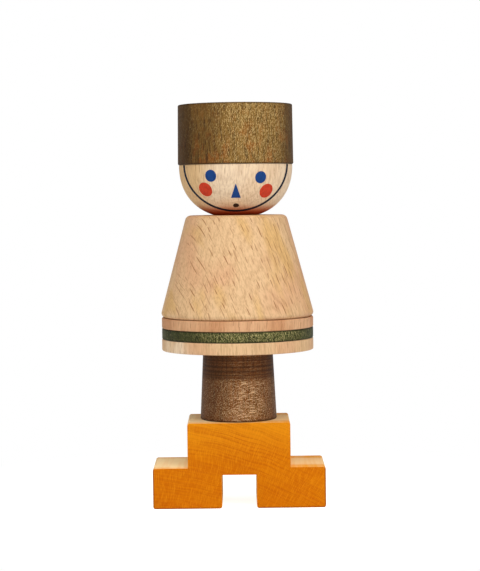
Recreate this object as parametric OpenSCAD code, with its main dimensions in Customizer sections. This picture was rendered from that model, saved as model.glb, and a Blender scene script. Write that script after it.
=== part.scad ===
// Stacking wooden doll: seven turned pieces threaded on a round stick that stands in a feet block.
// Frame: millimetres, +Z up along the stick, origin under the stick on the floor, face towards -Y.

/* [Feet] */
// Width across both shoes
feet_w = 70; // [60:0.5:80]
// Front-to-back depth of the block
feet_d = 32.4; // [32:0.1:40]
// Height of the block, up to the leg
feet_h = 34.8; // [31:0.1:40]
// Height of each shoe step
shoe_h = 16.6; // [15:0.1:18]
// Width of the upper part that carries the leg
ankle_w = 41.7; // [36:0.1:48]
// Width of the arch between the shoes
arch_w = 14; // [10:0.1:18]
// Height of the arch
arch_h = 13.6; // [10:0.1:14.5]

/* [Leg] */
// Height of the leg
leg_h = 28.5; // [20:0.1:40]
// Diameter at the foot end
leg_bottom_d = 31.4; // [24:0.1:32]
// Diameter at the skirt end
leg_top_d = 28.6; // [20:0.1:32]

/* [Skirt] */
// Diameter of the two plain discs
plain_disc_d = 62.2; // [56:0.1:66]
// Diameter of the green disc
green_disc_d = 62.1; // [56:0.1:66]
// Thickness of the lower plain disc
lower_disc_t = 4.8; // [3:0.1:8]
// Thickness of the green disc
green_disc_t = 4.4; // [3:0.1:8]
// Thickness of the upper plain disc
upper_disc_t = 4.3; // [3:0.1:8]

/* [Tunic] */
// Height of the tunic
tunic_h = 41.7; // [30:0.1:60]
// Diameter that the tunic's side would reach at its bottom face
tunic_bottom_d = 63.5; // [56:0.1:66]
// Diameter that the tunic's side would reach at its top face
tunic_top_d = 41; // [30:0.1:50]
// Radius of the rounded shoulder
shoulder_r = 2.4; // [0.5:0.1:4]
// Radius of the rounded hem
hem_r = 1.8; // [0.5:0.1:3]

/* [Head] */
// Diameter of the head
head_d = 46.4; // [40:0.1:47]
// Height of the head, between its two flats
head_h = 20.6; // [18:0.1:21]
// Depth at which the bowl would close if its chin were not cut flat
bowl_depth = 21.8; // [21.2:0.1:24]
// Roundness of the bowl: 2 is an ellipse, and more is squarer
bowl_power = 2.25; // [2:0.05:2.6]

/* [Hat] */
// Diameter of the hat at its brim
hat_bottom_d = 47.3; // [44:0.1:52]
// Diameter of the hat at its top
hat_top_d = 46.8; // [44:0.1:52]
// Height of the hat
hat_h = 24.4; // [20:0.1:34]
// Depth of the blind hole in the hat
hat_hole_depth = 16; // [10:0.5:17]

/* [Stick] */
// Diameter of the stick
stick_d = 8; // [6:0.5:9]
// Depth of the stick's socket in the feet
socket_depth = 15; // [8:0.5:16]
// Gap all round between the stick and each hole it runs through
play = 0.5; // [0.3:0.05:0.8]
// Gap all round between the stick and its socket
socket_play = 0.05; // [0.03:0.01:0.1]

/* [Edges] */
// Radius of the eased edges on the turned pieces
edge_r = 0.5; // [0.2:0.1:0.8]
// Radius of the eased corners on the feet
feet_r = 1; // [0.3:0.1:1.5]
// Chamfer at the mouth of each hole
mouth = 0.5; // [0.2:0.1:1]

/* [Hidden] */
$fn = 96;
corner_steps = 6;           // straight stretches in each eased corner
bowl_steps = 20;            // straight stretches in the head's bowl
tiny = 0.01;                // overshoot of a cut past the face it opens
head_edge_r = 0.3;          // easing of the head's upper rim
chin_edge_r = 0.3;          // easing around the chin's flat
stick_tip_r = 1.2;          // rounding of the stick's upper end
stick_foot_r = 0.5;         // easing of the stick's lower end
tip_room = 1;               // air above the stick in the hat's blind hole

natural_beech = "burlywood";
orange_stain = "darkorange";
brown_stain = "saddlebrown";
green_stain = "darkolivegreen";
hat_stain = "sienna";

// Heights of the faces that the pieces stand on
leg_z = feet_h;
lower_disc_z = leg_z + leg_h;
green_disc_z = lower_disc_z + lower_disc_t;
upper_disc_z = green_disc_z + green_disc_t;
tunic_z = upper_disc_z + upper_disc_t;
head_z = tunic_z + tunic_h;
hat_z = head_z + head_h;
stick_z = feet_h - socket_depth;
stick_l = hat_z + hat_hole_depth - tip_room - stick_z;
hole_d = stick_d + 2 * play;
socket_d = stick_d + 2 * socket_play;

// An angle brought between -180 and 180
function wrapped(angle) = angle > 180 ? angle - 360 : angle < -180 ? angle + 360 : angle;

function unit(v) = v / norm(v);

// The points that replace corner p, between its neighbours a and b, by an arc of radius r
function eased_corner(a, p, b, r) =
    r == 0 ? [p] :
    let (
        u = unit(a - p),
        v = unit(b - p),
        half = acos(u * v) / 2,
        centre = p + unit(u + v) * r / sin(half),
        first = p + u * r / tan(half) - centre,
        last = p + v * r / tan(half) - centre,
        start = atan2(first.y, first.x),
        turn = wrapped(atan2(last.y, last.x) - start)
    )
    [for (i = [0 : corner_steps])
        let (angle = start + turn * i / corner_steps)
        centre + r * [cos(angle), sin(angle)]];

// An outline with each corner eased by its own radius
function eased(points, radii) =
    let (n = len(points))
    [for (i = [0 : n - 1])
        each eased_corner(points[(i + n - 1) % n], points[i], points[(i + 1) % n], radii[i])];

// A solid of revolution from half its outline
module turned(points, radii) {
    rotate_extrude() polygon(eased(points, radii));
}

// A truncated cone with eased rims
module turned_cone(bottom_d, top_d, h, bottom_r, top_r) {
    turned(
        [[0, 0], [bottom_d / 2, 0], [top_d / 2, h], [0, h]],
        [0, bottom_r, top_r, 0]
    );
}

// The chamfer at a hole's mouth, opening upwards from z
module hole_mouth(z, d) {
    translate([0, 0, z - mouth])
        cylinder(h = mouth + tiny, d1 = d, d2 = d + 2 * (mouth + tiny));
}

// A hole right through a piece of height h, with both mouths chamfered
module through_hole(h) {
    translate([0, 0, -tiny]) cylinder(h = h + 2 * tiny, d = hole_d);
    hole_mouth(h, hole_d);
    mirror([0, 0, 1]) hole_mouth(0, hole_d);
}

// A flat disc of the skirt, at height z
module skirt_disc(z, d, t) {
    translate([0, 0, z]) difference() {
        turned_cone(d, d, t, edge_r, edge_r);
        through_hole(t);
    }
}

// Two shoes, the ankle block above them and the arch between them, in one piece of wood
module feet() {
    outline = [
        [-feet_w / 2, 0], [-arch_w / 2, 0], [-arch_w / 2, arch_h], [arch_w / 2, arch_h],
        [arch_w / 2, 0], [feet_w / 2, 0], [feet_w / 2, shoe_h], [ankle_w / 2, shoe_h],
        [ankle_w / 2, feet_h], [-ankle_w / 2, feet_h], [-ankle_w / 2, shoe_h],
        [-feet_w / 2, shoe_h]
    ];
    r = feet_r;
    radii = [r, r, 0, 0, r, r, r, 0, r, r, 0, r];
    color(orange_stain) difference() {
        rotate([90, 0, 0])
            linear_extrude(height = feet_d, center = true) polygon(eased(outline, radii));
        translate([0, 0, stick_z]) cylinder(h = socket_depth + tiny, d = socket_d);
        hole_mouth(feet_h, socket_d);
    }
}

module stick() {
    color(natural_beech) translate([0, 0, stick_z])
        turned_cone(stick_d, stick_d, stick_l, stick_foot_r, stick_tip_r);
}

module leg() {
    color(brown_stain) translate([0, 0, leg_z]) difference() {
        turned_cone(leg_bottom_d, leg_top_d, leg_h, edge_r, edge_r);
        through_hole(leg_h);
    }
}

module skirt_lower_disc() {
    color(natural_beech) skirt_disc(lower_disc_z, plain_disc_d, lower_disc_t);
}

module skirt_green_disc() {
    color(green_stain) skirt_disc(green_disc_z, green_disc_d, green_disc_t);
}

module skirt_upper_disc() {
    color(natural_beech) skirt_disc(upper_disc_z, plain_disc_d, upper_disc_t);
}

module tunic() {
    color(natural_beech) translate([0, 0, tunic_z]) difference() {
        turned_cone(tunic_bottom_d, tunic_top_d, tunic_h, hem_r, shoulder_r);
        through_hole(tunic_h);
    }
}

// A bowl whose side follows a superellipse, hung from the head's flat top and cut flat at the chin
module head() {
    chin_angle = asin(pow(head_h / bowl_depth, bowl_power / 2));
    bowl = [for (i = [bowl_steps : -1 : 0])
        let (angle = chin_angle * i / bowl_steps)
        [
            head_d / 2 * pow(cos(angle), 2 / bowl_power),
            head_h - bowl_depth * pow(sin(angle), 2 / bowl_power)
        ]];
    radii = [for (i = [0 : bowl_steps])
        i == 0 ? chin_edge_r : i == bowl_steps ? head_edge_r : 0];
    color(natural_beech) translate([0, 0, head_z]) difference() {
        turned(concat([[0, 0]], bowl, [[0, head_h]]), concat([0], radii, [0]));
        through_hole(head_h);
    }
}

module hat() {
    color(hat_stain) translate([0, 0, hat_z]) difference() {
        turned_cone(hat_bottom_d, hat_top_d, hat_h, edge_r, edge_r);
        translate([0, 0, -tiny]) cylinder(h = hat_hole_depth + tiny, d = hole_d);
        mirror([0, 0, 1]) hole_mouth(0, hole_d);
    }
}

feet();
stick();
leg();
skirt_lower_disc();
skirt_green_disc();
skirt_upper_disc();
tunic();
head();
hat();
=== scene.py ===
"""Dresses a wooden stacking doll: stained and waxed beech, a printed face and a plain pale studio."""

import math
from typing import NamedTuple

import bmesh
import bpy
from bpy.props import FloatProperty, FloatVectorProperty, PointerProperty
from mathutils import Euler, Matrix, Vector


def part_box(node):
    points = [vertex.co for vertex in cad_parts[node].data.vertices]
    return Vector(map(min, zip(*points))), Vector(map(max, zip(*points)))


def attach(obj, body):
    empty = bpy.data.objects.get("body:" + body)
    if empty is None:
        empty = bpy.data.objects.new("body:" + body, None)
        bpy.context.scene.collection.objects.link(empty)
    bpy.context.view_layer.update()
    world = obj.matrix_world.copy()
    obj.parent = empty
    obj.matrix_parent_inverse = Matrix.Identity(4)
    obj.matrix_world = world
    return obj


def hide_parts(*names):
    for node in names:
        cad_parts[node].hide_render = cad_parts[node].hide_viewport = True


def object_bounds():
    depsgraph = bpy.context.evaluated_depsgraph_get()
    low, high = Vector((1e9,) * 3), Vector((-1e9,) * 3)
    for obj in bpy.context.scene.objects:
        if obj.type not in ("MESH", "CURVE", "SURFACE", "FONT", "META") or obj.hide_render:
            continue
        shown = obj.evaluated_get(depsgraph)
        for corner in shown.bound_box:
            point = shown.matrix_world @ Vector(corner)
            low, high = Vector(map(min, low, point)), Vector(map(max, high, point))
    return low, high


bl_info = {
    "name": "Stacking doll",
    "version": (1, 0, 0),
    "blender": (4, 5, 0),
    "location": "3D view > Sidebar > Doll",
    "description": "Models and finishes the pieces of a wooden stacking doll",
    "category": "Object",
}

MM = 0.001
NEAR = 0.1 * MM  # how close counts as lying on a face
SOCKET_PLAY = 0.05 * MM  # gap all round the stick in its socket
WHITE = (1, 1, 1)

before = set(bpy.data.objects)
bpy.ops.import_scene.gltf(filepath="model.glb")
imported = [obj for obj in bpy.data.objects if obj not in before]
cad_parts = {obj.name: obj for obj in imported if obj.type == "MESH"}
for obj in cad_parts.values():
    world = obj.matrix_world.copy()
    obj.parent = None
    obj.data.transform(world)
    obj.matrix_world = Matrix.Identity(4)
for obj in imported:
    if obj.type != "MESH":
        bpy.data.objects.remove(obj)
cad_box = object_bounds()

FEET_LOW, FEET_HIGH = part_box("feet")
LEG_LOW, LEG_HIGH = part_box("leg")
HEAD_LOW, HEAD_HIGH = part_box("head")
HAT_LOW, HAT_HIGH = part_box("hat")
STICK_LOW, STICK_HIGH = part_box("stick")
DOLL_LOW, DOLL_HIGH = cad_box
BEFORE_HEAD = HEAD_LOW.y - 5 * MM  # where the face's outlines are drawn, before they are pressed on


def shade(red, green, blue):
    """A colour as a picker shows it, from 0 to 255, turned into linear light."""
    def linear(level):
        share = level / 255
        return share / 12.92 if share <= 0.04045 else ((share + 0.055) / 1.055) ** 2.4
    return linear(red), linear(green), linear(blue)


def length(name, description, default):
    return FloatProperty(name=name, description=description, default=default, min=0.0, unit="LENGTH")


def colour(name, description, default):
    return FloatVectorProperty(
        name=name, description=description, default=default, subtype="COLOR", size=3, min=0.0, max=1.0
    )


# ---------------------------------------------------------------- sizes and colours


class DollSizes(bpy.types.PropertyGroup):
    """Sizes of the block's steps and of the printed face."""

    shoe_height: length("Shoe height", "Height of each shoe step", 16.6 * MM)
    ankle_width: length("Ankle width", "Width of the block under the leg", 41.7 * MM)
    arch_width: length("Arch width", "Width of the arch between the shoes", 14 * MM)
    arch_height: length("Arch height", "Height of the arch between the shoes", 13.6 * MM)
    corner_radius: length("Corner radius", "Rounding of the block's long corners", 1.0 * MM)
    face_edge: length("Face edge", "Easing round the block's front and back faces", 0.35 * MM)
    film: length("Film", "Thickness of the printed paint", 0.03 * MM)
    eye_radius: length("Eye radius", "Radius of each eye, on the head's surface", 2.44 * MM)
    eye_spread: length("Eye spread", "Distance of each eye from the middle", 9.95 * MM)
    eye_drop: length("Eye drop", "Depth of the eyes under the hat", 5.1 * MM)
    cheek_radius: length("Cheek radius", "Radius of each cheek, on the head's surface", 3.1 * MM)
    cheek_spread: length("Cheek spread", "Distance of each cheek from the middle", 12.1 * MM)
    cheek_drop: length("Cheek drop", "Depth of the cheeks under the hat", 10.5 * MM)
    print_lean: length("Print lean", "How far the left marks sit above the right ones", 0.8 * MM)
    nose_width: length("Nose width", "Width of the nose at its base", 3.95 * MM)
    nose_height: length("Nose height", "Height of the nose", 5.8 * MM)
    nose_drop: length("Nose drop", "Depth of the nose's tip under the hat", 7.8 * MM)
    mouth_radius: length("Mouth radius", "Radius of the mouth, on the head's surface", 1.2 * MM)
    mouth_drop: length("Mouth drop", "Depth of the mouth under the hat", 16.6 * MM)
    line_width: length("Line width", "Width of the line round the face", 0.75 * MM)
    line_spread: length("Line spread", "Half the width of the line's oval", 20.8 * MM)
    line_drop: length("Line drop", "Depth of the line's oval under the hat", 18.8 * MM)


class DollColours(bpy.types.PropertyGroup):
    """Colours of the woods, stains and paints."""

    beech: colour("Beech", "Bare beech between its flecks", shade(229, 191, 144))
    beech_pink: colour("Pink beech", "Beech where it runs pinkish", shade(225, 177, 134))
    beech_gold: colour("Golden beech", "Beech where it runs yellowish", shade(222, 178, 112))
    beech_pale: colour("Pale beech", "The pale beech of the head", shade(244, 218, 184))
    beech_cream: colour("Creamy beech", "The head where it runs a little darker", shade(240, 208, 170))
    beech_rosy: colour("Rosy beech", "The redder beech of the skirt's upper disc", shade(206, 148, 104))
    beech_fleck: colour("Beech fleck", "The short dark flecks of beech", shade(158, 100, 56))
    # painted shade under the chin, where the head's underside turns from the light
    painted_chin_shade: colour("Shaded beech", "Beech where it darkens under the chin", shade(226, 94, 6))
    orange: colour("Orange stain", "Stain on the block's end grain", shade(215, 120, 3))
    orange_deep: colour("Deep orange", "Stain in the block's growth lines", shade(192, 88, 2))
    # painted shade along the block's bottom and outer edges, where they turn from the light
    orange_edge_shade: colour("Orange edge", "Stain gathered along the block's outer edges", shade(150, 78, 14))
    orange_light: colour("Light orange", "The rays that cross the growth lines", shade(240, 156, 24))
    # partly painted sheen: the long grain takes less stain, and this pale tone also stands in for the sheen
    # its tops catch
    orange_pale: colour("Pale orange", "Stain on the block's long grain", shade(255, 226, 174))
    brown: colour("Brown stain", "Stain on the leg", shade(134, 84, 38))
    brown_deep: colour("Deep brown", "Stain where the leg drinks more of it", shade(48, 28, 14))
    brown_warm: colour("Warm brown", "Stain where the leg shows through", shade(142, 84, 40))
    # partly painted sheen: light rays, and the sheen across the leg's front painted into the colour
    brown_light: colour("Light brown", "Rays that stay light in the leg", shade(234, 196, 148))
    green: colour("Green stain", "Stain on the middle disc", shade(78, 82, 44))
    green_deep: colour("Deep green", "Stain where the disc drinks more of it", shade(30, 34, 16))
    green_warm: colour("Warm green", "Stain where the disc shows through", shade(86, 84, 40))
    # partly painted glints: fibres that take less stain, and glints of highlight painted into the colour
    green_light: colour("Light green", "Fibres that stay light in the disc", shade(204, 188, 124))
    olive: colour("Olive stain", "Stain on the hat", shade(138, 100, 46))
    olive_deep: colour("Deep olive", "Stain where the hat drinks more of it", shade(62, 40, 18))
    olive_warm: colour("Warm olive", "Stain where the hat shows through", shade(158, 94, 38))
    # partly painted glints: fibres that take less stain, and glints of highlight painted into the colour
    olive_light: colour("Light olive", "Fibres that stay light in the hat", shade(222, 190, 124))
    blue: colour("Blue", "Paint of the eyes and the nose", shade(16, 64, 130))
    red: colour("Red", "Paint of the cheeks", shade(210, 60, 28))
    line: colour("Line", "Paint of the line round the face", shade(20, 24, 44))
    mouth: colour("Mouth", "Paint of the mouth", shade(46, 24, 14))


# ---------------------------------------------------------------- shader building


class Wire:
    """What comes out of a shader node. Python's operators add the Math nodes."""

    def __init__(self, socket):
        self.socket = socket

    def math(self, operation, *values):
        node = self.socket.id_data.nodes.new("ShaderNodeMath")
        node.operation = operation
        for place, value in zip(node.inputs, values):
            plug(place, value)
        return Wire(node.outputs[0])

    def __add__(self, other):
        return self.math("ADD", self, other)

    def __radd__(self, other):
        return self.math("ADD", other, self)

    def __sub__(self, other):
        return self.math("SUBTRACT", self, other)

    def __rsub__(self, other):
        return self.math("SUBTRACT", other, self)

    def __mul__(self, other):
        return self.math("MULTIPLY", self, other)

    def __rmul__(self, other):
        return self.math("MULTIPLY", other, self)

    def __truediv__(self, other):
        return self.math("DIVIDE", self, other)

    def __pow__(self, other):
        return self.math("POWER", self, other)

    def __abs__(self):
        return self.math("ABSOLUTE", self)

    def root(self):
        return self.math("SQRT", self)

    def fraction(self):
        return self.math("FRACT", self)

    def angle(self, across):
        return self.math("ARCTAN2", self, across)

    def at_least(self, low):
        return self.math("MAXIMUM", self, low)


def plug(place, value):
    """Links a wire into a socket, or sets the socket to a plain value."""
    if isinstance(value, Wire):
        place.id_data.links.new(value.socket, place)
    elif place.type == "RGBA" and len(value) == 3:
        place.default_value = (*value, 1.0)
    else:
        place.default_value = value


class Recipe:
    """A material or a world, built node by node."""

    def __init__(self, owner):
        owner.use_nodes = True
        self.owner = owner
        self.tree = owner.node_tree
        self.tree.nodes.clear()

    def add(self, kind, settings, inputs):
        """A node with its settings made first and its sockets fed after, as a dict of its outputs."""
        node = self.tree.nodes.new(kind)
        for key, value in settings.items():
            setattr(node, key, value)
        for key, value in inputs.items():
            if isinstance(key, int):
                plug(node.inputs[key], value)
            else:
                plug(next(s for s in node.inputs if s.name == key and s.enabled), value)
        return {s.name: Wire(s) for s in node.outputs if s.enabled}

    def mix(self, share, first, second, how="MIX"):
        settings = {"data_type": "RGBA", "blend_type": how, "clamp_factor": True}
        return self.add("ShaderNodeMix", settings, {"Factor": share, "A": first, "B": second})["Result"]

    def vector(self, operation, first, second):
        return self.add("ShaderNodeVectorMath", {"operation": operation}, {0: first, 1: second})["Vector"]

    def parts(self, vector):
        split = self.add("ShaderNodeSeparateXYZ", {}, {"Vector": vector})
        return split["X"], split["Y"], split["Z"]

    def join(self, x, y, z):
        return self.add("ShaderNodeCombineXYZ", {}, {"X": x, "Y": y, "Z": z})["Vector"]

    def here(self):
        """Where the surface is: to the right, to the back and up, in metres."""
        return self.parts(self.add("ShaderNodeTexCoord", {}, {})["Object"])

    def rise(self, value, low, high):
        """A smooth step from 0 at low to 1 at high."""
        settings = {"interpolation_type": "SMOOTHSTEP", "clamp": True}
        inputs = {"Value": value, "From Min": low, "From Max": high, "To Min": 0.0, "To Max": 1.0}
        return self.add("ShaderNodeMapRange", settings, inputs)["Result"]

    def noise(self, place, stretch, detail=2.0, roughness=0.5, output="Fac"):
        """Noise whose grains are as long, in millimetres, as stretch says along each axis."""
        scaled = self.vector("DIVIDE", place, stretch)
        inputs = {"Vector": scaled, "Scale": 1.0, "Detail": detail, "Roughness": roughness}
        return self.add("ShaderNodeTexNoise", {"noise_dimensions": "3D"}, inputs)[output]

    def finish(self, colour, roughness, height, relief, **constants):
        """Ends a material in its shader. relief is the depth of the height map, in metres."""
        bump = self.add("ShaderNodeBump", {}, {"Strength": 1.0, "Distance": relief, "Height": height})
        inputs = {"Base Color": colour, "Roughness": roughness, "Normal": bump["Normal"]}
        inputs.update({key.replace("_", " "): value for key, value in constants.items()})
        surface = self.add("ShaderNodeBsdfPrincipled", {}, inputs)["BSDF"]
        self.add("ShaderNodeOutputMaterial", {}, {"Surface": surface})
        return self.owner


# ---------------------------------------------------------------- wood


class Grain(NamedTuple):
    """How a piece was cut from its plank."""

    turn: tuple  # degrees about X, Y and Z that bring the fibres upright
    heart: tuple  # where the tree's heart lies from the stick, across the fibres, in mm
    slide: float  # how far along the plank, in mm, so that no two pieces are alike
    ring: float  # gap between growth rings, in mm
    ray_gap: tuple = (1.35, 4.4, 16)  # gap between rays across, along and out from the heart, in mm
    ray_half: tuple = (0.15, 2.1)  # half the width and height of a ray's end, in mm


class Figure(NamedTuple):
    """What shows in a piece of beech. All but the place are shares from 0 to 1."""

    place: Wire  # round the heart, along the fibres and out from the heart, in mm
    late: Wire
    rays: Wire
    fine_rays: Wire
    fibre: Wire
    pores: Wire
    cloud: Wire
    end: Wire  # 1 where the surface cuts across the fibres
    flat: Wire  # 1 where the surface lies across the rays, 0 where it lies along them


def lenses(recipe, place, gap, half, bow=0.0):
    """Lens-shaped flecks: gap is their spacing and half their half size, in mm, across and along."""
    scaled = recipe.vector("DIVIDE", place, gap)
    settings = {"voronoi_dimensions": "3D", "feature": "F1"}
    cell = recipe.add("ShaderNodeTexVoronoi", settings, {"Vector": scaled, "Scale": 1.0})
    offset = recipe.vector("MULTIPLY", recipe.vector("SUBTRACT", scaled, cell["Position"]), gap)
    across, along, _ = recipe.parts(offset)
    luck, size, _ = recipe.parts(cell["Color"])
    bent = along + across * across * bow
    span = half[1] * (0.45 + 0.9 * size)
    lens = 1.0 - (across / half[0]) ** 2 - (bent / span) ** 2
    return recipe.rise(lens, 0.0, 0.7) * (0.3 + 0.7 * luck)


def beech_figure(recipe, grain):
    """Rings, rays, fibres and pores, laid out round the heart of the tree the piece came from."""
    coordinates = recipe.add("ShaderNodeTexCoord", {}, {})
    turn = tuple(math.radians(a) for a in grain.turn)
    upright = recipe.add(
        "ShaderNodeMapping",
        {"vector_type": "POINT"},
        {
            "Vector": coordinates["Object"],
            "Scale": (1 / MM,) * 3,
            "Rotation": turn,
            "Location": (-grain.heart[0], -grain.heart[1], grain.slide),
        },
    )["Vector"]
    facing = recipe.add(
        "ShaderNodeMapping",
        {"vector_type": "VECTOR"},
        {"Vector": coordinates["Normal"], "Rotation": turn},
    )["Vector"]
    wander = recipe.noise(upright, (14, 14, 34), detail=1.0, output="Color")
    wander = recipe.vector("MULTIPLY", recipe.vector("SUBTRACT", wander, (0.5,) * 3), (2.2, 2.2, 0))
    x, y, z = recipe.parts(recipe.vector("ADD", upright, wander))
    reach = math.hypot(*grain.heart)
    out = (x * x + y * y).root()
    round_heart = y.angle(x) * reach
    place = recipe.join(round_heart, z, out)

    cloud = recipe.noise(place, (13, 30, 13), detail=2.0)
    age = out / grain.ring + 0.8 * cloud
    late = (1.0 - abs(age.fraction() * 2.0 - 1.0)) ** 5
    rays = lenses(recipe, place, grain.ray_gap, grain.ray_half)
    fine_rays = lenses(recipe, recipe.vector("ADD", place, (7.3, 2.1, 4.4)), (0.9, 2.6, 9), (0.11, 1.1))
    fibre = recipe.noise(place, (0.55, 9, 0.55), detail=3.0, roughness=0.6)
    pores = recipe.rise(recipe.noise(place, (0.14, 1.1, 0.14), detail=1.0), 0.62, 0.74)
    across, deep, along = recipe.parts(facing)
    flat = abs(across * x + deep * y) / out
    return Figure(place, late, rays, fine_rays, fibre, pores, cloud, abs(along) ** 3, flat)


def natural_beech(name, grain, woods, fleck, flecked=1.0, painted_shade=None, band=None):
    """Bare beech under clear wax.

    One argument holds a painted shade: its colour, and the heights where it starts and is full. band is a
    colour and the distances to the right where it starts and is full.
    """
    recipe = Recipe(bpy.data.materials.new(name))
    f = beech_figure(recipe, grain)
    plain, second, third = woods
    patch = recipe.noise(f.place, (7, 46, 16), detail=2.0)
    wood = recipe.mix(recipe.rise(f.cloud, 0.42, 0.68), plain, second)
    wood = recipe.mix(recipe.rise(patch, 0.48, 0.66) * 0.8, wood, third)
    if band:
        tone, start, full = band
        wood = recipe.mix(recipe.rise(recipe.here()[0], start, full) * 0.7, wood, tone)
    across, along, out = recipe.parts(f.place)
    silk = lenses(recipe, recipe.join(out, along, across), (5.5, 1.7, 2.2), (2.4, 0.5))
    silky = 1.0 - recipe.rise(f.flat, 0.05, 0.35)
    wood = recipe.mix(silk * silky * 0.3, wood, second)
    wood = recipe.mix(recipe.rise(f.fibre, 0.4, 0.7) * (0.2 + 0.12 * flecked) + f.late * 0.13, wood, fleck)
    dark = f.rays.at_least(f.fine_rays * 0.4) * (1.0 - silky) * 0.95 * flecked + f.pores * 0.12
    wood = recipe.mix(dark * (1.0 - 0.5 * f.end), wood, fleck)
    wood = recipe.mix(f.end * 0.22, wood, fleck)
    # painted shade: darkens the wood towards the bottom, under the chin
    if painted_shade:
        tint, start, full = painted_shade
        wood = recipe.mix(recipe.rise(recipe.here()[2], start, full), wood, tint, how="MULTIPLY")
    height = 1.0 - f.rays * 0.4 - f.pores * 0.8 - f.fibre * 0.3
    return recipe.finish(wood, 0.46 + 0.12 * f.fibre, height, 0.02 * MM, Specular_IOR_Level=0.18)


class Stain(NamedTuple):
    """The colours that one stain takes on beech."""

    even: tuple
    deep: tuple
    warm: tuple
    light: tuple


def strokes(recipe, place, lean, size, low, high):
    """Short scratchy strokes that lean from the fibres by their own share of the length."""
    across, along, out = recipe.parts(place)
    leaned = recipe.join(across + along * lean, along, out)
    return recipe.rise(recipe.noise(leaned, size, detail=2.0), low, high)


def at_rims(recipe, low, high, reach):
    """1 at a piece's upper and lower rims, fading to 0 over reach."""
    half = (high - low) / 2
    return 1.0 - recipe.rise(abs(recipe.here()[2] - (low + half)), half, half - reach)


def stained_beech(name, grain, stain, lean, rims, shine, dark_and_shaded_sides=()):
    """Beech under a dark stain. It stays light on the silk of the rays, partly as painted glints, and
    darkens at the rims, partly stain pooling and partly painted shade.

    Each dark side is how far to the right, in metres, a darker tone starts and is full, and its share; on
    the hat the right one is painted shade.
    """
    recipe = Recipe(bpy.data.materials.new(name))
    f = beech_figure(recipe, grain)
    low, high = rims
    silky = 1.0 - recipe.rise(f.flat, 0.3, 0.9)
    lower = 1.0 - recipe.rise(recipe.here()[2], low, low + 0.9 * (high - low))
    shows = recipe.rise(recipe.noise(f.place, (3.4, 5.5, 3.4), detail=2.0), 0.48, 0.64)
    wood = recipe.mix(shows * (0.25 + 0.6 * lower), stain.even, stain.warm)
    streaks = recipe.rise(recipe.noise(f.place, (0.42, 4.5, 0.42), detail=2.0), 0.44, 0.64)
    drinks = streaks * 0.68 + f.late * 0.25 + recipe.rise(f.cloud, 0.5, 0.7) * 0.25
    wood = recipe.mix(drinks, wood, stain.deep)
    wood = recipe.mix((1.0 - silky) * 0.34, wood, stain.deep)
    across, along, out = recipe.parts(f.place)
    leaned = recipe.join(out + along * lean, along, across)
    scratch = lenses(recipe, leaned, (0.62, 1.5, 0.9), (0.15, 0.75))
    specks = strokes(recipe, f.place, lean, (0.26, 0.6, 0.26), 0.52, 0.66)
    # light strokes: fibres that take less stain, and painted glints of highlight on the silky face
    light = (scratch * 0.95 + specks * 0.6) * (0.15 + 0.75 * silky) * (1.0 - 0.3 * lower)
    wood = recipe.mix(light, wood, stain.light)
    wood = recipe.mix(f.pores * 0.4 + f.end * 0.35, wood, stain.deep)
    # darker tone towards a side; at the hat's right edge this is painted shade
    for start, full, share in dark_and_shaded_sides:
        wood = recipe.mix(recipe.rise(recipe.here()[0], start, full) * share, wood, stain.deep)
    # darker at the upper and lower rims: stain pooling on the rounded edges, and painted shade where they
    # turn from the light
    wood = recipe.mix(at_rims(recipe, low, high, 0.9 * MM) * 0.85, wood, stain.deep)
    height = 1.0 - f.pores * 0.8 - f.fibre * 0.6 + scratch * 0.4
    roughness = 0.5 - 0.16 * scratch + 0.1 * f.fibre
    return recipe.finish(wood, roughness, height, 0.03 * MM, Metallic=shine, Specular_IOR_Level=0.12)


def leg_wood(name, grain, stain, low, high):
    """The leg shows its radial face: silky light arcs below, partly painted sheen, and a darker, banded
    upper part.
    """
    recipe = Recipe(bpy.data.materials.new(name))
    f = beech_figure(recipe, grain)
    tall = high - low
    up = recipe.here()[2]
    lower = 1.0 - recipe.rise(up, low + 0.56 * tall, low + 0.66 * tall)
    silky = 1.0 - recipe.rise(f.flat, 0.15, 0.95)
    wood = recipe.mix(recipe.rise(f.cloud, 0.38, 0.58) * 0.8, stain.even, stain.warm)
    wood = recipe.mix(recipe.rise(f.fibre, 0.4, 0.62) * 0.45 + f.late * 0.2, wood, stain.deep)
    # darker off the silky face, lighter on it: the wood's silk, and painted sheen across the front
    wood = recipe.mix((1.0 - silky) * 0.58, wood, stain.deep)
    across, along, out = recipe.parts(f.place)
    arcs = lenses(recipe, recipe.join(out, along, across), (4.0, 1.15, 2.6), (1.9, 0.2), bow=0.16)
    specks = strokes(recipe, f.place, 0.0, (0.26, 0.42, 0.26), 0.5, 0.66)
    light = arcs * 0.9 * silky ** 3 + specks * (0.36 + 0.4 * silky)
    wood = recipe.mix(light * (0.32 + 0.68 * lower), wood, stain.light)
    bands = recipe.noise(recipe.join(0.0, up / MM, 0.0), (1.0, 0.9, 1.0), detail=2.0)
    wood = recipe.mix((1.0 - lower) * (0.22 + 0.45 * recipe.rise(bands, 0.42, 0.58)), wood, stain.deep)
    # darker at the upper and lower rims: stain pooling on the rounded edges, and painted shade where they
    # turn from the light
    wood = recipe.mix(at_rims(recipe, low, high, 1.3 * MM) * 0.9, wood, stain.deep)
    height = 1.0 - f.pores * 0.6 - f.fibre * 0.4 + arcs * 0.4
    return recipe.finish(wood, 0.5 - 0.14 * arcs, height, 0.03 * MM, Metallic=0.12, Specular_IOR_Level=0.1)


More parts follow.
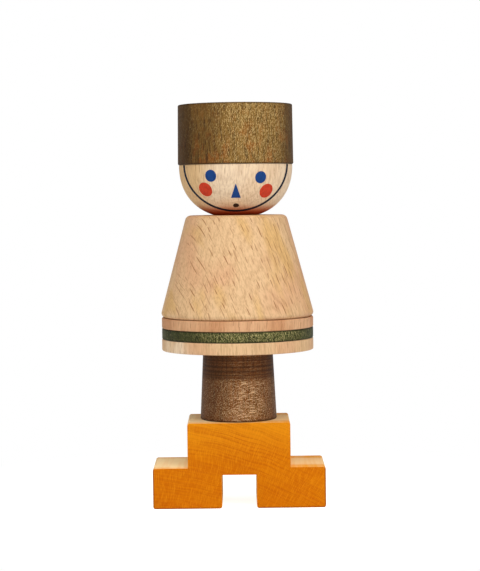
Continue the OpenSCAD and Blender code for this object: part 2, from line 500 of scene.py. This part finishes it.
def block_wood(name, grain, colours, size):
    """Orange stain: deep on the end grain at front and back, pale on the long grain between them (partly
    painted sheen), with painted shade along the bottom and outer edges.
    """
    width, depth, top = size
    recipe = Recipe(bpy.data.materials.new(name))
    f = beech_figure(recipe, grain)
    right, back, up = recipe.here()
    wood = recipe.mix(recipe.rise(f.cloud, 0.35, 0.75) * 0.35, colours.orange, colours.orange_deep)
    wood = recipe.mix(recipe.rise(up, 0.5 * top, top) * 0.55, wood, colours.orange_light)
    growth = recipe.rise(recipe.noise(f.place, (14, 40, 0.55), detail=2.0), 0.46, 0.64)
    wood = recipe.mix(growth * 0.42 + f.late * 0.34, wood, colours.orange_deep)
    rays = recipe.rise(recipe.noise(f.place, (0.25, 20, 3.4), detail=2.0), 0.48, 0.62)
    wood = recipe.mix(rays * 0.36, wood, colours.orange_light)
    dots = recipe.rise(recipe.noise(f.place, (0.26, 8, 0.26), detail=1.0), 0.62, 0.76)
    wood = recipe.mix(dots * 0.5, wood, colours.orange_deep)
    stripes = recipe.rise(recipe.noise(f.place, (2.2, 60, 2.2), detail=2.0), 0.4, 0.66)
    side = recipe.rise(right, -25 * MM, 30 * MM)
    drunk = recipe.rise(abs(back) + side * 4 * MM, 0.5 * depth - 6 * MM, 0.5 * depth)
    # the long grain's pale tone is partly stain and partly painted sheen
    pale = recipe.mix(stripes * 0.2 + drunk * 0.5 + side * 0.25, colours.orange_pale, colours.orange_light)
    wood = recipe.mix(1.0 - recipe.rise(f.end, 0.2, 0.6), wood, pale)
    # painted shade: darkens the bottom and outer edges of the end grain, where they turn from the light
    foot_shade = recipe.rise(up, 0.8 * MM, 0.2 * MM)
    flank_shade = recipe.rise(abs(right), width / 2 - 0.8 * MM, width / 2 - 0.2 * MM)
    wood = recipe.mix(foot_shade.at_least(flank_shade) * recipe.rise(f.end, 0.02, 0.2) * 0.8, wood, colours.orange_edge_shade)
    height = 1.0 - dots * 0.8 - growth * 0.3 - f.fibre * 0.2
    return recipe.finish(wood, 0.55 + 0.12 * f.fibre, height, 0.02 * MM, Specular_IOR_Level=0.04)


def printed_paint(name, paint, grain):
    """A thin matt print that lets the wood's grain show through a little."""
    recipe = Recipe(bpy.data.materials.new(name))
    f = beech_figure(recipe, grain)
    thin = recipe.rise(f.fibre, 0.38, 0.7) * 0.35 + f.pores * 0.3
    colour = recipe.mix(thin, paint, tuple(c * 0.35 for c in paint))
    height = 1.0 - f.pores * 0.6 - f.fibre * 0.5
    return recipe.finish(colour, 0.55 + 0.1 * f.fibre, height, 0.015 * MM, Specular_IOR_Level=0.2)


HEAD_GRAIN = Grain(turn=(0, 0, 0), heart=(14, 62), slide=310, ring=2.6)


def beech_woods(colours):
    """The three tones that plain beech runs between."""
    return colours.beech, colours.beech_pink, colours.beech_gold


def dress(node_name, material):
    """Gives a CAD node its finish."""
    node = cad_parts[node_name]
    node.data.materials.clear()
    node.data.materials.append(material)


# ---------------------------------------------------------------- modelling by hand


def clear_selection():
    if bpy.context.mode != "OBJECT":
        bpy.ops.object.mode_set(mode="OBJECT")
    bpy.ops.object.select_all(action="DESELECT")


def pick(choose_faces=None, choose_edges=None):
    """Selects only what each test says yes to, in edit mode."""
    bpy.ops.mesh.select_all(action="DESELECT")
    mesh = bmesh.from_edit_mesh(bpy.context.object.data)
    mesh.normal_update()
    for test, things in ((choose_edges, mesh.edges), (choose_faces, mesh.faces)):
        for thing in things if test else ():
            if test(thing):
                thing.select_set(True)
    mesh.select_flush_mode()
    bmesh.update_edit_mesh(bpy.context.object.data)


def settle(name, material, body):
    """Names a finished piece, bakes its place into its mesh, and hands it to its body."""
    clear_selection()
    piece = bpy.context.object
    piece.select_set(True)
    bpy.ops.object.transform_apply(location=True, rotation=True, scale=True)
    piece.name = name
    piece.data.name = name
    piece.data.materials.clear()
    piece.data.materials.append(material)
    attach(piece, body)
    return piece


def apply_modifier(kind, **settings):
    """Adds a modifier to the active object, sets it and applies it."""
    bpy.ops.object.modifier_add(type=kind)
    modifier = bpy.context.object.modifiers[-1]
    for key, value in settings.items():
        setattr(modifier, key, value)
    bpy.ops.object.modifier_apply(modifier=modifier.name)


def span(edge):
    return edge.verts[0].co - edge.verts[1].co


def sharp(edge):
    return edge.is_manifold and edge.calc_face_angle() > 1


def saw(point, normal):
    """Cuts a line of edges right round the mesh that is being edited."""
    bpy.ops.mesh.select_all(action="SELECT")
    bpy.ops.mesh.bisect(plane_co=point, plane_no=normal)


def cut_feet(sizes):
    """The stepped block: one bar, its middle raised, its arch sawn out and its edges eased."""
    width, depth, height = FEET_HIGH - FEET_LOW
    ankle, arch = sizes.ankle_width / 2, sizes.arch_width / 2
    clear_selection()
    bpy.ops.mesh.primitive_cube_add(size=1, location=(0, 0, sizes.shoe_height / 2))
    bpy.context.object.scale = (width, depth, sizes.shoe_height)
    bpy.ops.object.transform_apply(location=True, rotation=True, scale=True)
    bpy.ops.object.mode_set(mode="EDIT")
    bpy.ops.mesh.select_mode(type="FACE")
    for x in (-ankle, -arch, arch, ankle):
        saw((x, 0, 0), (1, 0, 0))
    saw((0, 0, sizes.arch_height), (0, 0, 1))
    pick(choose_faces=lambda f: f.normal.z > 0.9 and abs(f.calc_center_median().x) < ankle)
    bpy.ops.mesh.extrude_region_move(
        TRANSFORM_OT_translate={"value": (0, 0, height - sizes.shoe_height)}
    )

    def in_arch(face):
        centre = face.calc_center_median()
        return abs(centre.x) < arch and centre.z < sizes.arch_height - NEAR

    pick(choose_faces=in_arch)
    bpy.ops.mesh.delete(type="FACE")
    bpy.ops.mesh.select_mode(type="EDGE")
    pick(choose_edges=lambda e: e.is_boundary and abs(span(e).y) < NEAR)
    bpy.ops.mesh.bridge_edge_loops()
    bpy.ops.mesh.select_all(action="SELECT")
    bpy.ops.mesh.remove_doubles(threshold=0.01 * MM)
    bpy.ops.mesh.dissolve_limited(angle_limit=math.radians(1))

    def runs_back(edge):
        return sharp(edge) and edge.is_convex and abs(span(edge).normalized().y) > 0.9

    pick(choose_edges=runs_back)
    bpy.ops.mesh.bevel(offset=sizes.corner_radius, segments=4, affect="EDGES")
    pick(choose_edges=lambda e: sharp(e) and min(abs(v.co.y) for v in e.verts) > depth / 2 - NEAR)
    bpy.ops.mesh.bevel(offset=sizes.face_edge, segments=3, affect="EDGES")
    bpy.ops.object.mode_set(mode="OBJECT")


def drill_socket():
    """Drills the stick's hole into the top of the active object."""
    block = bpy.context.object
    radius = (STICK_HIGH - STICK_LOW).x / 2 + SOCKET_PLAY
    deep = FEET_HIGH.z - STICK_LOW.z
    clear_selection()
    bpy.ops.mesh.primitive_cylinder_add(
        vertices=64, radius=radius, depth=2 * deep, location=(0, 0, FEET_HIGH.z)
    )
    drill = bpy.context.object
    bpy.context.view_layer.objects.active = block
    apply_modifier("BOOLEAN", operation="DIFFERENCE", object=drill, solver="EXACT")
    bpy.data.objects.remove(drill)
    clear_selection()
    block.select_set(True)
    bpy.ops.object.shade_smooth_by_angle(angle=math.radians(35))


def press_onto_head(film):
    """Presses the active flat outline onto the front of the head, as thick as paint."""
    apply_modifier(
        "SHRINKWRAP",
        target=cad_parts["head"],
        wrap_method="PROJECT",
        use_project_x=False,
        use_project_y=True,
        use_positive_direction=True,
        use_negative_direction=False,
    )
    bpy.ops.object.mode_set(mode="EDIT")
    bpy.ops.mesh.select_all(action="SELECT")
    bpy.ops.mesh.normals_make_consistent(inside=False)
    bpy.ops.object.mode_set(mode="OBJECT")
    if sum(face.normal.y for face in bpy.context.object.data.polygons) > 0:
        bpy.ops.object.mode_set(mode="EDIT")
        bpy.ops.mesh.flip_normals()
        bpy.ops.object.mode_set(mode="OBJECT")
    apply_modifier("SOLIDIFY", thickness=2 * film, offset=0.0)
    bpy.ops.object.shade_smooth_by_angle(angle=math.radians(50))


def head_facing(x, z):
    """Which way the front of the head faces at a point."""
    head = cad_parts["head"]
    into = head.matrix_world.inverted()
    start = into @ Vector((x, BEFORE_HEAD, z))
    normal = head.ray_cast(start, into.to_3x3() @ Vector((0, 1, 0)))[2]
    return (head.matrix_world.to_3x3() @ normal).normalized()


def round_mark(x, drop, radius, film):
    """A mark that is round on the head's surface, so it looks narrower where that turns away."""
    z = HEAD_HIGH.z - drop
    facing = head_facing(x, z)
    squeeze = abs(facing.y)
    clear_selection()
    bpy.ops.mesh.primitive_circle_add(
        vertices=64, radius=radius, fill_type="NGON", location=(x, BEFORE_HEAD, z),
        rotation=(math.pi / 2, math.atan2(-facing.z, facing.x), 0),
    )
    bpy.context.object.scale = (squeeze, 1, 1)
    bpy.ops.object.transform_apply(location=True, rotation=True, scale=True)
    bpy.ops.object.mode_set(mode="EDIT")
    bpy.ops.mesh.select_mode(type="FACE")
    bpy.ops.mesh.select_all(action="SELECT")
    rings = 6
    for _ in range(rings):
        bpy.ops.mesh.inset(thickness=radius * squeeze / (rings + 1), depth=0)
    bpy.ops.mesh.poke()
    bpy.ops.object.mode_set(mode="OBJECT")
    press_onto_head(film)


def pointed_mark(drop, width, height, film):
    """The nose: a triangle divided finely enough to follow the head."""
    clear_selection()
    bpy.ops.mesh.primitive_circle_add(
        vertices=3, radius=1, fill_type="NGON", rotation=(math.pi / 2, 0, 0)
    )
    points = bpy.context.object.data.vertices
    reach = [max(p.co[i] for p in points) - min(p.co[i] for p in points) for i in (0, 1)]
    tip = max(p.co.y for p in points)
    scale = (width / reach[0], height / reach[1], 1)
    bpy.context.object.scale = scale
    bpy.context.object.location = (0, BEFORE_HEAD, HEAD_HIGH.z - drop - tip * scale[1])
    bpy.ops.object.transform_apply(location=True, rotation=True, scale=True)
    bpy.ops.object.mode_set(mode="EDIT")
    bpy.ops.mesh.select_all(action="SELECT")
    bpy.ops.mesh.bevel(offset=0.15 * MM, segments=3, affect="VERTICES")
    bpy.ops.mesh.quads_convert_to_tris()
    bpy.ops.mesh.subdivide(number_cuts=9)
    bpy.ops.object.mode_set(mode="OBJECT")
    press_onto_head(film)


def face_line(sizes):
    """The line round the face: an oval hoop, its upper half cut away under the hat."""
    clear_selection()
    bpy.ops.mesh.primitive_circle_add(
        vertices=192, radius=1, fill_type="NOTHING", rotation=(math.pi / 2, 0, 0),
        location=(0, BEFORE_HEAD, HEAD_HIGH.z),
    )
    half = sizes.line_width / 2
    bpy.context.object.scale = (sizes.line_spread + half, sizes.line_drop + half, 1)
    bpy.ops.object.transform_apply(location=True, rotation=True, scale=True)
    bpy.ops.object.mode_set(mode="EDIT")
    bpy.ops.mesh.select_mode(type="EDGE")
    bpy.ops.mesh.select_all(action="SELECT")
    centre = (0, BEFORE_HEAD, HEAD_HIGH.z)
    steps = 4
    for step in range(steps):
        outer = half - sizes.line_width * step / steps
        inner = outer - sizes.line_width / steps
        shrink = [(reach + inner) / (reach + outer) for reach in (sizes.line_spread, sizes.line_drop)]
        bpy.ops.mesh.extrude_edges_move()
        bpy.ops.transform.resize(value=(shrink[0], 1, shrink[1]), center_override=centre)
    bpy.ops.mesh.select_all(action="SELECT")
    bpy.ops.mesh.bisect(
        plane_co=(0, 0, HEAD_HIGH.z - 0.2 * MM), plane_no=(0, 0, 1), clear_outer=True
    )
    bpy.ops.object.mode_set(mode="OBJECT")
    press_onto_head(sizes.film)


# ---------------------------------------------------------------- operators


class DOLL_OT_feet(bpy.types.Operator):
    """Model the stepped feet block and stain it orange"""

    bl_idname = "doll.feet"
    bl_label = "Feet"

    def execute(self, context):
        colours = context.scene.doll_colours
        cut_feet(context.scene.doll_sizes)
        drill_socket()
        grain = Grain(turn=(90, 0, 0), heart=(-51, 141), slide=0, ring=1.5)
        material = block_wood("orange_stained_block", grain, colours, FEET_HIGH - FEET_LOW)
        feet = settle("feet_block", material, "base")
        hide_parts("feet")
        return {"FINISHED"}


class DOLL_OT_leg(bpy.types.Operator):
    """Stain the leg dark brown and wax the stick"""

    bl_idname = "doll.leg"
    bl_label = "Leg and stick"

    def execute(self, context):
        c = context.scene.doll_colours
        grain = Grain(turn=(0, 0, 0), heart=(-56, -27), slide=45, ring=2.2)
        stain = Stain(c.brown, c.brown_deep, c.brown_warm, c.brown_light)
        brown = leg_wood("brown_stained_leg", grain, stain, LEG_LOW.z, LEG_HIGH.z)
        dress("leg", brown)
        stick_grain = Grain(turn=(0, 0, 0), heart=(20, 90), slide=500, ring=2.4)
        wood = natural_beech("waxed_stick", stick_grain, beech_woods(c), c.beech_fleck)
        dress("stick", wood)
        return {"FINISHED"}


class DOLL_OT_skirt(bpy.types.Operator):
    """Finish the two plain discs and the green one between them"""

    bl_idname = "doll.skirt"
    bl_label = "Skirt discs"

    def execute(self, context):
        c = context.scene.doll_colours
        lower = Grain(turn=(0, 2, 0), heart=(-18, 66), slide=140, ring=2.7)
        upper = Grain(turn=(0, -4, 0), heart=(30, 60), slide=205, ring=2.5)
        middle = Grain(turn=(0, 0, 0), heart=(-64, -42), slide=270, ring=2.4)
        pale = (c.beech, c.beech_pale, c.beech_pink)
        rosy = (c.beech_pink, c.beech_rosy, c.beech_rosy)
        wood = natural_beech("waxed_lower_disc", lower, pale, c.beech_fleck, 0.5)
        dress("skirt_lower_disc", wood)
        wood = natural_beech("waxed_upper_disc", upper, rosy, c.beech_fleck, 0.6)
        dress("skirt_upper_disc", wood)
        low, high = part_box("skirt_green_disc")
        stain = Stain(c.green, c.green_deep, c.green_warm, c.green_light)
        green = stained_beech("green_stained_disc", middle, stain, 0.35, (low.z, high.z), 0.25)
        dress("skirt_green_disc", green)
        return {"FINISHED"}


class DOLL_OT_tunic(bpy.types.Operator):
    """Wax the tunic"""

    bl_idname = "doll.tunic"
    bl_label = "Tunic"

    def execute(self, context):
        c = context.scene.doll_colours
        grain = Grain(
            turn=(-4, 15, 0),
            heart=(-22, 68),
            slide=20,
            ring=3.4,
            ray_gap=(1.9, 6.4, 16),
            ray_half=(0.16, 3.0),
        )
        wood = natural_beech("waxed_tunic", grain, beech_woods(c), c.beech_fleck)
        dress("tunic", wood)
        return {"FINISHED"}


class DOLL_OT_head(bpy.types.Operator):
    """Wax the head"""

    bl_idname = "doll.head"
    bl_label = "Head"

    def execute(self, context):
        c = context.scene.doll_colours
        woods = (c.beech_pale, c.beech_cream, c.beech_pale)
        band = (c.beech_gold, -7 * MM, -17 * MM)
        # painted shade under the chin
        painted_shade = (c.painted_chin_shade, HEAD_LOW.z + 4.8 * MM, HEAD_LOW.z + 0.4 * MM)
        wood = natural_beech("waxed_head", HEAD_GRAIN, woods, c.beech_fleck, 0.5, painted_shade, band)
        dress("head", wood)
        return {"FINISHED"}


class DOLL_OT_face(bpy.types.Operator):
    """Print the face onto the head: eyes, cheeks, nose, mouth and the line round them"""

    bl_idname = "doll.face"
    bl_label = "Face"

    def execute(self, context):
        s = context.scene.doll_sizes
        c = context.scene.doll_colours
        blue = printed_paint("blue_print", tuple(c.blue), HEAD_GRAIN)
        red = printed_paint("red_print", tuple(c.red), HEAD_GRAIN)
        line = printed_paint("line_print", tuple(c.line), HEAD_GRAIN)
        dark = printed_paint("mouth_print", tuple(c.mouth), HEAD_GRAIN)
        for side, x in (("left", -1), ("right", 1)):
            lower = x * s.print_lean / 2
            round_mark(x * s.eye_spread, s.eye_drop + lower, s.eye_radius, s.film)
            settle(side + "_eye", blue, "head")
            round_mark(x * s.cheek_spread, s.cheek_drop + lower, s.cheek_radius, s.film)
            settle(side + "_cheek", red, "head")
        pointed_mark(s.nose_drop, s.nose_width, s.nose_height, s.film)
        settle("nose", blue, "head")
        round_mark(0, s.mouth_drop, s.mouth_radius, s.film)
        settle("mouth", dark, "head")
        face_line(s)
        settle("face_line", line, "head")
        return {"FINISHED"}


class DOLL_OT_hat(bpy.types.Operator):
    """Stain the hat olive brown"""

    bl_idname = "doll.hat"
    bl_label = "Hat"

    def execute(self, context):
        c = context.scene.doll_colours
        grain = Grain(turn=(0, 3, 0), heart=(-49, -44), slide=400, ring=2.3)
        stain = Stain(c.olive, c.olive_deep, c.olive_warm, c.olive_light)
        rims = (HAT_LOW.z, HAT_HIGH.z)
        # darker towards the left edge, and painted shade at the right edge where the side turns from the
        # light
        dark_and_shaded_sides = ((-17.4 * MM, -19 * MM, 0.6), (17 * MM, 22.5 * MM, 0.55))
        olive = stained_beech("olive_stained_hat", grain, stain, -0.3, rims, 0.3, dark_and_shaded_sides)
        dress("hat", olive)
        return {"FINISHED"}


class DOLL_OT_stage(bpy.types.Operator):
    """Lay the pale floor, hang the soft lights and set up the camera"""

    bl_idname = "doll.stage"
    bl_label = "Studio"

    def execute(self, context):
        lay_floor()
        light_world(context.scene)
        hang_lights()
        place_camera(context.scene)
        context.scene.view_settings.view_transform = "Standard"
        return {"FINISHED"}


FLOOR_RADIUS = 4.0  # metres
FLOOR_FADE = (0.045, 0.16)  # metres from the middle, where the floor starts to fade and is all white
FLOOR_LIFT = 0.82  # how much brighter the floor looks than it is
GLOW = 0.4  # how much light comes from all round


def lay_floor():
    """A wide white floor that fades into the white all round."""
    clear_selection()
    bpy.ops.mesh.primitive_circle_add(vertices=96, radius=FLOOR_RADIUS, fill_type="NGON")
    floor = bpy.context.object
    floor.name = "floor"
    recipe = Recipe(bpy.data.materials.new("pale_floor"))
    x, y, _ = recipe.parts(recipe.add("ShaderNodeTexCoord", {}, {})["Object"])
    away = recipe.rise((x * x + y * y).root(), *FLOOR_FADE)
    seen = recipe.add("ShaderNodeLightPath", {}, {})["Is Camera Ray"]
    matt = recipe.add("ShaderNodeBsdfDiffuse", {}, {"Color": shade(245, 245, 244)})["BSDF"]
    lift = recipe.add("ShaderNodeEmission", {}, {"Color": WHITE, "Strength": seen * FLOOR_LIFT})["Emission"]
    near = recipe.add("ShaderNodeAddShader", {}, {0: matt, 1: lift})["Shader"]
    white = recipe.add("ShaderNodeEmission", {}, {"Color": WHITE, "Strength": 1.0})["Emission"]
    surface = recipe.add("ShaderNodeMixShader", {}, {0: away * seen, 1: near, 2: white})["Shader"]
    recipe.add("ShaderNodeOutputMaterial", {}, {"Surface": surface})
    floor.data.materials.append(recipe.owner)


def light_world(scene):
    """White to look at, but only a dim even glow on the doll."""
    world = bpy.data.worlds.new("studio")
    scene.world = world
    recipe = Recipe(world)
    seen = recipe.add("ShaderNodeLightPath", {}, {})["Is Camera Ray"]
    glow = recipe.add("ShaderNodeBackground", {}, {"Color": WHITE, "Strength": GLOW})["Background"]
    back = recipe.add("ShaderNodeBackground", {}, {"Color": WHITE, "Strength": 1.0})["Background"]
    surface = recipe.add("ShaderNodeMixShader", {}, {0: seen, 1: glow, 2: back})["Shader"]
    recipe.add("ShaderNodeOutputWorld", {}, {"Surface": surface})


class Softbox(NamedTuple):
    """A soft light, placed round the doll."""

    name: str
    azimuth: float  # degrees to the right of the front
    elevation: float  # degrees above the floor
    distance: float  # metres
    size: float  # metres
    power: float  # watts


SOFTBOXES = (
    Softbox("key", 30, 40, 1.2, 0.7, 5.0),
    Softbox("fill", -34, 20, 1.4, 0.8, 1.6),
    Softbox("top", -5, 66, 1.2, 0.9, 6.5),
)


def hang_lights():
    aim = (DOLL_LOW + DOLL_HIGH) / 2
    for box in SOFTBOXES:
        data = bpy.data.lights.new(box.name, "AREA")
        data.energy = box.power
        data.size = box.size
        light = bpy.data.objects.new(box.name, data)
        bpy.context.scene.collection.objects.link(light)
        a, e = math.radians(box.azimuth), math.radians(box.elevation)
        back = Vector((math.sin(a) * math.cos(e), -math.cos(a) * math.cos(e), math.sin(e)))
        light.location = aim + back * box.distance
        light.rotation_mode = "QUATERNION"
        light.rotation_quaternion = back.to_track_quat("Z", "Y")


CAMERA_PLACE = (0.0012, -0.739, 0.1255)  # metres
CAMERA_LENS = 113.5  # mm
CAMERA_SENSOR = 36  # mm
CAMERA_PITCH = math.radians(2.79)
CAMERA_ROLL = math.radians(0.7)


def place_camera(scene):
    """A long lens at the height of the face, looking a little down."""
    data = bpy.data.cameras.new("camera")
    data.lens = CAMERA_LENS
    data.sensor_width = CAMERA_SENSOR
    camera = bpy.data.objects.new("camera", data)
    scene.collection.objects.link(camera)
    look = Euler((math.pi / 2 - CAMERA_PITCH, 0, 0)).to_matrix() @ Matrix.Rotation(-CAMERA_ROLL, 3, "Z")
    camera.matrix_world = Matrix.Translation(CAMERA_PLACE) @ look.to_4x4()
    scene.camera = camera


class DOLL_PT_panel(bpy.types.Panel):
    """Everything that makes the doll, in order"""

    bl_idname = "DOLL_PT_panel"
    bl_label = "Stacking doll"
    bl_space_type = "VIEW_3D"
    bl_region_type = "UI"
    bl_category = "Doll"

    def draw(self, context):
        for operator in OPERATORS:
            self.layout.operator(operator.bl_idname)
        for group in (context.scene.doll_sizes, context.scene.doll_colours):
            box = self.layout.box()
            for name in group.__annotations__:
                box.prop(group, name)


OPERATORS = (
    DOLL_OT_feet,
    DOLL_OT_leg,
    DOLL_OT_skirt,
    DOLL_OT_tunic,
    DOLL_OT_head,
    DOLL_OT_face,
    DOLL_OT_hat,
    DOLL_OT_stage,
)
CLASSES = (DollSizes, DollColours, *OPERATORS, DOLL_PT_panel)


def register():
    for cls in CLASSES:
        bpy.utils.register_class(cls)
    bpy.types.Scene.doll_sizes = PointerProperty(type=DollSizes)
    bpy.types.Scene.doll_colours = PointerProperty(type=DollColours)


def unregister():
    del bpy.types.Scene.doll_colours
    del bpy.types.Scene.doll_sizes
    for cls in reversed(CLASSES):
        bpy.utils.unregister_class(cls)


def main():
    register()
    bpy.ops.doll.feet()
    bpy.ops.doll.leg()
    bpy.ops.doll.skirt()
    bpy.ops.doll.tunic()
    bpy.ops.doll.head()
    bpy.ops.doll.face()
    bpy.ops.doll.hat()
    bpy.ops.doll.stage()


if __name__ == "__main__":
    main()
